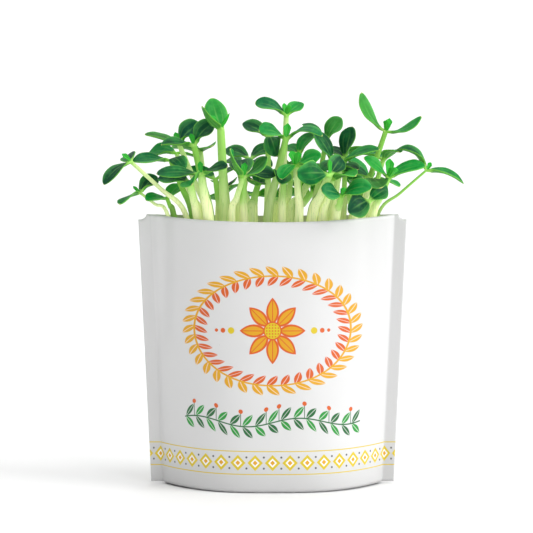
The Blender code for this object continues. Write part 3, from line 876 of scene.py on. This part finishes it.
class Skin:
    """Points, faces and marks of one plant."""

    def __init__(self):
        self.points, self.faces, self.leaf_marks, self.growth_marks = [], [], [], []

    def ring(self, points, leaf, growth):
        first = len(self.points)
        self.points += [tuple(p) for p in points]
        self.leaf_marks += [tuple(row) for row in leaf]
        self.growth_marks += [tuple(growth)] * len(points)
        return list(range(first, len(self.points)))

    def bridge(self, low, high):
        self.faces += zip(low, shifted(low), shifted(high), high)

    def cap(self, ring, tip, leaf, growth, outward=True):
        apex = self.ring([tip], [leaf], growth)[0]
        for a, b in zip(ring, shifted(ring)):
            self.faces.append((a, b, apex) if outward else (b, a, apex))


def curve_through(rows, places):
    """Rows of numbers read at fractional places by a Catmull-Rom curve through them."""
    out = []
    last = len(rows) - 1
    for place in places:
        k = min(int(place), last - 1)
        t = place - k
        a, b, c, d = (rows[min(max(k + shift, 0), last)] for shift in (-1, 0, 1, 2))
        out.append(0.5 * (2 * b + (c - a) * t + (2 * a - 5 * b + 4 * c - d) * t**2
                          + (3 * b - a - 3 * c + d) * t**3))
    return np.array(out)


def unit(vector):
    return vector / max(np.linalg.norm(vector), 1e-12)


def smooth(t):
    t = min(max(t, 0.0), 1.0)
    return t * t * (3.0 - 2.0 * t)


# %% [markdown]
# A seed leaf is fleshy: over a millimetre thick, with rounded margins, a shallow groove
# along its middle and a fainter one to each side, and a rib under it near the stalk.
# The grooves are real geometry. The outline comes from the CAD stations with a
# mirrored one after the tip, which rounds the end off. No two leaves of a real bunch
# are alike, so each gets its own habit: how wavy its margin is, how much it is folded
# along the middle and twisted, and how pointed it ends.

# %% Relief and habit of a leaf
MID_GROOVE = 0.22 * MM
SIDE_GROOVE = 0.10 * MM
UNDER_RIB = 0.30 * MM
MARGIN_WAVE = 0.30 * MM
MID_WIDTH, SIDE_PLACE, SIDE_WIDTH, RIB_WIDTH = 0.16, 0.52, 0.13, 0.20  # shares of the half width
EVEN = {"waves": 0.0, "phase": 0.0, "fold": 0.0, "twist": 0.0, "point": 0.0}


def habit_of(chance):
    """How one leaf strays from an even oval."""
    return {"waves": chance.uniform(4.0, 9.0), "phase": chance.uniform(0.0, 6.28),
            "fold": chance.uniform(-0.2, 1.4) * MM, "twist": math.radians(chance.uniform(-22.0, 22.0)),
            "point": chance.uniform(0.15, 0.85)}


def hump(x):
    return np.exp(-(x**2))


def turned(across, up, angle):
    """The leaf's two cross directions turned about its length."""
    wide = max(np.linalg.norm(across), 1e-12)
    c, s = math.cos(angle), math.sin(angle)
    return across * c + up * (wide * s), up * c - across * (s / wide)


def blade_ring(station, along, habit, relief):
    """Points round the blade at one place along it."""
    centre, across, thick, lift = station[:3], station[3:6], station[6:9], station[9]
    height = np.linalg.norm(thick)
    up = thick / max(height, 1e-12)
    across, up = turned(across, up, habit["twist"] * (along - 0.4))
    across = across * (1.0 - 0.2 * habit["point"] * smooth((along - 0.62) / 0.38))
    fade = relief * smooth(along / 0.12) * smooth((1.0 - along) / 0.25)
    groove = MID_GROOVE * hump(ACROSS / MID_WIDTH)
    groove = groove + SIDE_GROOVE * hump((np.abs(ACROSS) - SIDE_PLACE) / SIDE_WIDTH)
    rib = UNDER_RIB * hump(ACROSS / RIB_WIDTH) * smooth((0.75 - along) / 0.6)
    offset = FACE * height - np.where(FACE > 0.3, groove, 0.0) * fade
    offset = offset - np.where(FACE < -0.3, rib, 0.0) * fade
    ripple = MARGIN_WAVE * math.sin(along * habit["waves"] + habit["phase"]) * smooth(along / 0.2)
    offset = offset + (lift + ripple * np.sign(ACROSS + 0.01)) * ACROSS**2
    offset = offset + habit["fold"] * (np.abs(ACROSS) ** 1.3 - 0.3) * fade
    return centre + np.outer(ACROSS, across) + np.outer(offset, up)


def leaf_marks(blade, along):
    """Blade share, place along, place across and face, for each column."""
    face = np.clip(FACE * 2.0, -1.0, 1.0) * 0.5 + 0.5
    return np.column_stack([np.full(COLUMNS, blade), np.full(COLUMNS, along), ACROSS * 0.5 + 0.5, face])


def station_at(row, centre, wide, thick):
    """A station moved to another centre, its width and thickness scaled."""
    out = row.copy()
    out[:3] = centre
    out[3:6] *= wide
    out[6:9] *= thick
    return out


def grow_leaf(skin, loop, rows, tip, foot, growth, chance, relief=1.0):
    """A blade from the loop of points at the crown out to the tip."""
    habit = habit_of(chance)
    end = rows[-1][:3]
    last = station_at(rows[-1], tip, 0.0, 0.30)
    last[9] = 0.0
    beyond = station_at(rows[-1], end + (tip - end) * (2.0 * habit["point"]), -1.0, 0.1)
    stations = np.vstack([station_at(rows[0], foot, 0.80, 1.15), rows, last, beyond])
    spans = len(rows) + 1
    places = np.concatenate([np.linspace(0.2, spans - 1, 5 * (spans - 1) - 1)[:-1],
                             spans - 1 + np.array([0.0, 0.25, 0.48, 0.67, 0.82, 0.92, 0.975])])
    fine = curve_through(stations, places)
    reach = np.concatenate([[0.0], np.cumsum(np.linalg.norm(np.diff(fine[:, :3], axis=0), axis=1))])
    start = np.array([skin.points[k] for k in loop])
    ring = loop
    for place, station, along in zip(places, fine, reach / reach[-1]):
        share = smooth(place)
        points = start * (1.0 - share) + blade_ring(station, along, habit, relief) * share
        this = skin.ring(points, leaf_marks(smooth((along - 0.02) / 0.14), along), growth)
        skin.bridge(ring, this)
        ring = this
    skin.cap(ring, tip, (1.0, 1.0, 0.5, 0.5), growth)


# %% [markdown]
# The stem is a tube through the CAD rings, a little ridged. At the crown its last
# ring splits in two: a saddle of points runs across it, and each half ring together
# with the saddle starts one leaf. So the plant is one skin with no seam where the
# leaves leave the stem. The small true leaves grow out of the saddle.

# %% Stem and crown
STEM_STEPS = 7  # rings between two CAD rings
SADDLE_RISE = 0.85  # of the stem's radius
BUNCH_HALF = 9.0 * MM  # stems this far off the seal plane stand in full light
FORK_SPREAD = 0.45  # of it too: how far the leaves' feet move apart
CROWN_REACH = 3.2 * MM  # points this close to the crown are smoothed
CROWN_PASSES = 3


def stem_rings(sprout, side, chance):
    """Points of each fine ring up the stem, the last one starting on the crown's side."""
    rows = np.hstack([sprout["centres"], sprout["radii"][:, None]])
    places = np.linspace(0.0, len(rows) - 1, STEM_STEPS * (len(rows) - 1) + 1)
    fine = curve_through(rows, places)
    lines = np.gradient(fine[:, :3], axis=0)
    ridge = chance.uniform(0.0, 6.28)
    out = []
    for row, line in zip(fine[::-1], lines[::-1]):
        along = unit(line)
        side = unit(side - along * np.dot(side, along))
        back = np.cross(along, side)
        near_crown = len(out) / len(fine)
        uneven = 1.0 + 0.035 * np.cos(3 * TURN + ridge) * smooth(near_crown / 0.15)
        wide = row[3] * uneven * 1.03
        out.append(row[:3] + np.outer(np.cos(TURN) * wide, side) + np.outer(np.sin(TURN) * wide, back))
    return out[::-1]


def crown_loops(skin, ring, crown, up, side, radius, marks, growth):
    """The two loops of points that the seed leaves start from."""
    shares = 1.0 - np.arange(1, HALF) / (HALF / 2)
    lift = SADDLE_RISE * radius * np.sqrt(1.0 - shares**2)
    points = crown + np.outer(shares * radius, side) + np.outer(lift, up)
    saddle = skin.ring(points, marks[:HALF - 1], growth)
    left = ring[:HALF + 1] + saddle[::-1]
    right = ring[HALF:] + [ring[0]] + saddle
    return left, right


def grow_true_leaf(skin, crown, rows, tip, growth, chance):
    """A small leaf of its own that starts inside the crown."""
    points = blade_ring(station_at(rows[0], crown, 0.45, 1.2), 0.0, EVEN, 0.0)
    loop = skin.ring(points, leaf_marks(0.6, 0.0), growth)
    skin.cap(loop, crown - unit(tip - crown) * 0.2 * MM, (0.6, 0.0, 0.5, 0.5), growth, False)
    grow_leaf(skin, loop, rows, tip, crown, growth, chance, 0.7)


def grow_sprout(sprout, chance):
    """The whole plant as one skin."""
    skin = Skin()
    crown = sprout["centres"][-1]
    radius = sprout["radii"][-1]
    up = unit(crown - sprout["centres"][-2])
    starts = [rows[0][:3] for rows, _ in sprout["seed"]]
    pair = starts[1] - starts[0]
    pair = unit(pair - up * np.dot(pair, up))
    side = np.cross(up, pair)
    tone, hue = chance.random(), chance.random()
    # Painted shade: the nearer a stem stands to the middle of the bunch, the darker green its tone.
    inside = 1.0 - min(abs(np.mean(sprout["centres"][:, 1])) / BUNCH_HALF, 1.0)
    growth = (0.35 * tone + 0.65 * inside, hue, 0.0, 0.0)
    crown_growth = growth[:3] + (1.0,)
    rings = stem_rings(sprout, side, chance)
    marks = leaf_marks(0.0, 0.0)
    last = None
    for k, points in enumerate(rings):
        share = k / (len(rings) - 1)
        marks[:, 1] = share
        this = skin.ring(points, marks, growth if share < 1.0 else crown_growth)
        if last:
            skin.bridge(last, this)
        else:
            skin.cap(this, sprout["root"], (0.0, 0.0, 0.5, 0.5), growth, False)
        last = this
    left, right = crown_loops(skin, last, crown, up, side, radius, marks, crown_growth)
    for loop, (rows, tip), way in zip((left, right), sprout["seed"], (-1.0, 1.0)):
        foot = crown + up * (0.3 * radius) + pair * (FORK_SPREAD * radius * way)
        leaf_growth = (min(max(tone + chance.uniform(-0.35, 0.35), 0.0), 1.0), chance.random(), 0.0, 1.0)
        grow_leaf(skin, loop, rows, tip, foot, leaf_growth, chance)
    for rows, tip in sprout["true"]:
        start = crown + up * (0.35 * radius)
        grow_true_leaf(skin, start, rows, tip, (tone, chance.random(), 1.0, 1.0), chance)
    return skin, crown


# %% Plant object
def plant_object(name, skin, crown):
    """The mesh of a skin, its crown smoothed, with its marks as two colour attributes."""
    mesh = bpy.data.meshes.new(name)
    mesh.from_pydata(skin.points, [], skin.faces)
    for label, rows in (("leaf", skin.leaf_marks), ("growth", skin.growth_marks)):
        layer = mesh.color_attributes.new(label, "FLOAT_COLOR", "POINT")
        layer.data.foreach_set("color", np.array(rows, dtype=np.float32).ravel())
    shape = opened(mesh)
    near = [v for v in shape.verts if (v.co - Vector(crown)).length < CROWN_REACH]
    for _ in range(CROWN_PASSES):
        bmesh.ops.smooth_vert(shape, verts=near, factor=0.5,
                              use_axis_x=True, use_axis_y=True, use_axis_z=True)
    closed(shape, mesh).shade_smooth()
    return placed(name, mesh)


# %% [markdown]
# ## Plant finish
# One material serves the whole plant, because a real sprout has no border between
# stem, stalk and blade: pale yellow-green turns to deep green over a few millimetres.
# The marks say where each point is. Light also passes a little way into the flesh,
# which the shader's subsurface setting gives. Pale stems also get a painted glow: a
# trace of emission stands in for light that came in elsewhere. Stems in the middle
# of the bunch are a darker green than the pale ones outside, which is painted shade.


# %% Plant finish
def leaf_colour(look, cloud, patch, off, veins, leaf_mark, growth):
    """Deep green above, paler below, at margin, stalk and tip, with a painted sheen on one half; young
    leaves are bright.
    """
    _, along, across, face = leaf_mark
    tone, hue, young, _ = growth
    # Painted sheen: a paler band toward the margins on one half of each leaf stands in for a highlight.
    painted_sheen = (off + (cloud - 0.5) * 0.5).step(0.30, 0.95)
    painted_sheen = painted_sheen * ((across - 0.5) * (hue - 0.5)).step(-0.02, 0.06)
    upper = look.mix((tone + (cloud - 0.5) * 0.7).step(0.15, 0.85), tint(0, 68, 40), tint(14, 144, 50))
    upper = look.coats(
        upper, (hue.step(0.76, 1.0) * 0.35, (92, 180, 48)), (hue.step(0.28, 0.0) * 0.6, (6, 84, 64)),
        (patch.step(0.46, 0.72) * 0.20, (84, 178, 84)), (patch.step(0.52, 0.30) * 0.25, (0, 62, 34)),
        (painted_sheen * 0.42, (96, 190, 96)), (veins * 0.30, (140, 208, 108)))
    under = look.coats(
        look.mix(cloud, tint(30, 122, 46), tint(92, 172, 62)),
        (patch.step(0.52, 0.30) * 0.3, (14, 96, 40)), (veins * 0.5, (150, 208, 104)))
    leaf = look.coats(
        look.mix(face.step(0.62, 0.38), upper, under), (off.step(0.86, 1.0) * 0.55, (132, 204, 72)),
        (along.step(0.17, 0.02) * 0.75, (140, 204, 80)), (along.step(0.965, 1.0) * 0.8, (206, 212, 128)))
    return look.mix(young * 0.85, leaf, look.mix(veins, tint(46, 174, 50), tint(118, 208, 84)))


def stem_colour(look, streak, along, growth):
    """Pale, greener toward the crown, and darker green inside the bunch as painted shade; a few stems are
    pinkish.
    """
    tone, hue, _, above = growth
    green = (along + (hue - 0.5) * 0.3).step(0.62, 1.02).at_least(above)
    pink = hue.step(0.80, 0.95) * along.step(0.95, 0.45) * streak.step(0.4, 0.6)
    return look.coats(
        look.mix(streak, tint(216, 232, 150), tint(246, 248, 208)),
        (streak.step(0.50, 0.74) * 0.6, (142, 192, 76)), (tone.step(0.36, 0.86) * 0.9, (92, 154, 50)),
        (green * 0.85, (132, 198, 76)), (pink * 0.28, (222, 170, 160)))


def plant_finish():
    look = Finish("sprout_skin")
    place = look.place()
    leaf_mark, growth = look.mark("leaf"), look.mark("growth")
    blade, along, across, _ = leaf_mark
    cloud = look.noise(place, 150.0, 3.0, 0.55)
    fine = look.noise(place, 1900.0, 2.0, 0.6)
    patch = look.noise(place, 330.0, 4.0, 0.6)
    streak = look.noise(look.stretched(place, 1500.0, 1500.0, 45.0), 1.0, 3.0, 0.6)
    off = abs(across - 0.5) * 2.0
    veins = (off / 0.07).bell() + ((off - 0.52 + (cloud - 0.5) * 0.06) / 0.05).bell() * 0.55
    veins = veins.at_most(1.0) * along.step(0.95, 0.35)
    leaf = leaf_colour(look, cloud, patch, off, veins, leaf_mark, growth)
    stem = stem_colour(look, streak, along, growth)
    # The emission is a painted glow: stems glow faintly in their own colour, blades with a trace of green.
    look.set({"Base Color": look.mix(blade, stem, leaf),
              "Roughness": 0.42 + cloud * 0.14 + (1.0 - blade) * 0.10,
              "Subsurface Weight": 0.12, "Subsurface Radius": (0.6, 1.0, 0.3),
              "Subsurface Scale": 0.0016, "Specular IOR Level": 0.15,
              "Emission Color": look.mix(blade, stem, (0.0, 0.02, 0.005, 1.0)), "Emission Strength": 0.16})
    grain = fine * 0.4 + cloud * 0.5
    look.bump(grain * blade + (1.0 - blade) * streak * 0.8 - veins * blade * 0.4, 0.00016, 0.7)
    return look


plant_skin = plant_finish()
faces = 0
for number, name in enumerate(SPROUTS):
    chance = random.Random(3300 + number)
    skin, crown = grow_sprout(skeletons[name], chance)
    plant = plant_object("plant" + name[6:], skin, crown)
    attach(plant, plant_skin, "sprout_green", name)
    faces += len(plant.data.polygons)
print("plants:", len(SPROUTS), "with", faces, "faces")

# %% [markdown]
# ## Floor and light
# The photograph was taken on a white table in soft light from the right. The floor is
# a wide pale sheet that rises gently far away, so that it also fills the background
# of a low view. A sun with a wide disc stands for the big lamp, a weak one for the
# reflector in front that brings the stems out of the shade, and a sky that is
# white overhead and dark toward the left front stands for the room: that is what
# shades the film from grey on the left to white on the right, and keeps the gaps
# between the stems dark.

# %% Floor
floor_look = Finish("floor")
floor_cloud = floor_look.noise(floor_look.place(), 3.0, 2.0, 0.5)
floor_look.set({"Base Color": floor_look.mix(floor_cloud, grey(0.88), grey(0.90)), "Roughness": 0.75})
FLAT_RADIUS = 6.0  # metres
FLOOR_RADIUS = 40.0
FLOOR_RISE = 8.5
FLOOR_SIDES = 64
FLOOR_RINGS = 12
floor_points = []
floor_faces = [tuple(range(FLOOR_SIDES))]
for k in range(FLOOR_RINGS + 1):
    out = k / FLOOR_RINGS
    radius = FLAT_RADIUS + (FLOOR_RADIUS - FLAT_RADIUS) * out
    for side in range(FLOOR_SIDES):
        turn = 2.0 * math.pi * side / FLOOR_SIDES
        floor_points.append((radius * math.cos(turn), radius * math.sin(turn), FLOOR_RISE * out**1.5))
        a, b = k * FLOOR_SIDES + side, k * FLOOR_SIDES + (side + 1) % FLOOR_SIDES
        if k < FLOOR_RINGS:
            floor_faces.append((a, a + FLOOR_SIDES, b + FLOOR_SIDES, b))
floor_mesh = bpy.data.meshes.new("floor")
floor_mesh.from_pydata(floor_points, [], floor_faces)
floor_mesh.shade_smooth()
floor_mesh.materials.append(floor_look.material)
floor = placed("floor", floor_mesh)

# %% Light
def sun(name, energy, degrees, toward):
    """A sun with a disc of so many degrees, in the direction `toward`."""
    lamp = bpy.data.lights.new(name, "SUN")
    lamp.energy = energy
    lamp.angle = math.radians(degrees)
    placed(name, lamp).rotation_euler = Vector(toward).to_track_quat("Z", "Y").to_euler()


sun("key", 1.75, 30.0, (0.88, -0.28, 0.40))
sun("fill", 0.50, 20.0, (0.55, -0.78, 0.34))

DARK_SIDE = 0.0  # low down, at the left front of the room
BRIGHT_SIDE = 0.40  # and at its right rear
BRIGHT_WAY = (0.8, 0.6)  # the level direction of the right rear
OVERHEAD = 1.54  # added straight above
world = bpy.data.worlds.new("studio")
world.use_nodes = True
bpy.context.scene.world = world
sky = Web(world.node_tree)
x, y, z = sky.parts(sky.get("ShaderNodeTexCoord", output="Generated"))
rim = (x * BRIGHT_WAY[0] + y * BRIGHT_WAY[1]).step(-1.0, 1.0, DARK_SIDE, BRIGHT_SIDE)
level = rim + z.at_least(0.0) ** 2.0 * OVERHEAD
plug(sky.tree, sky.tree.nodes["Background"].inputs["Color"], sky.vector(level, level, level))
bpy.context.scene.view_settings.view_transform = "Standard"
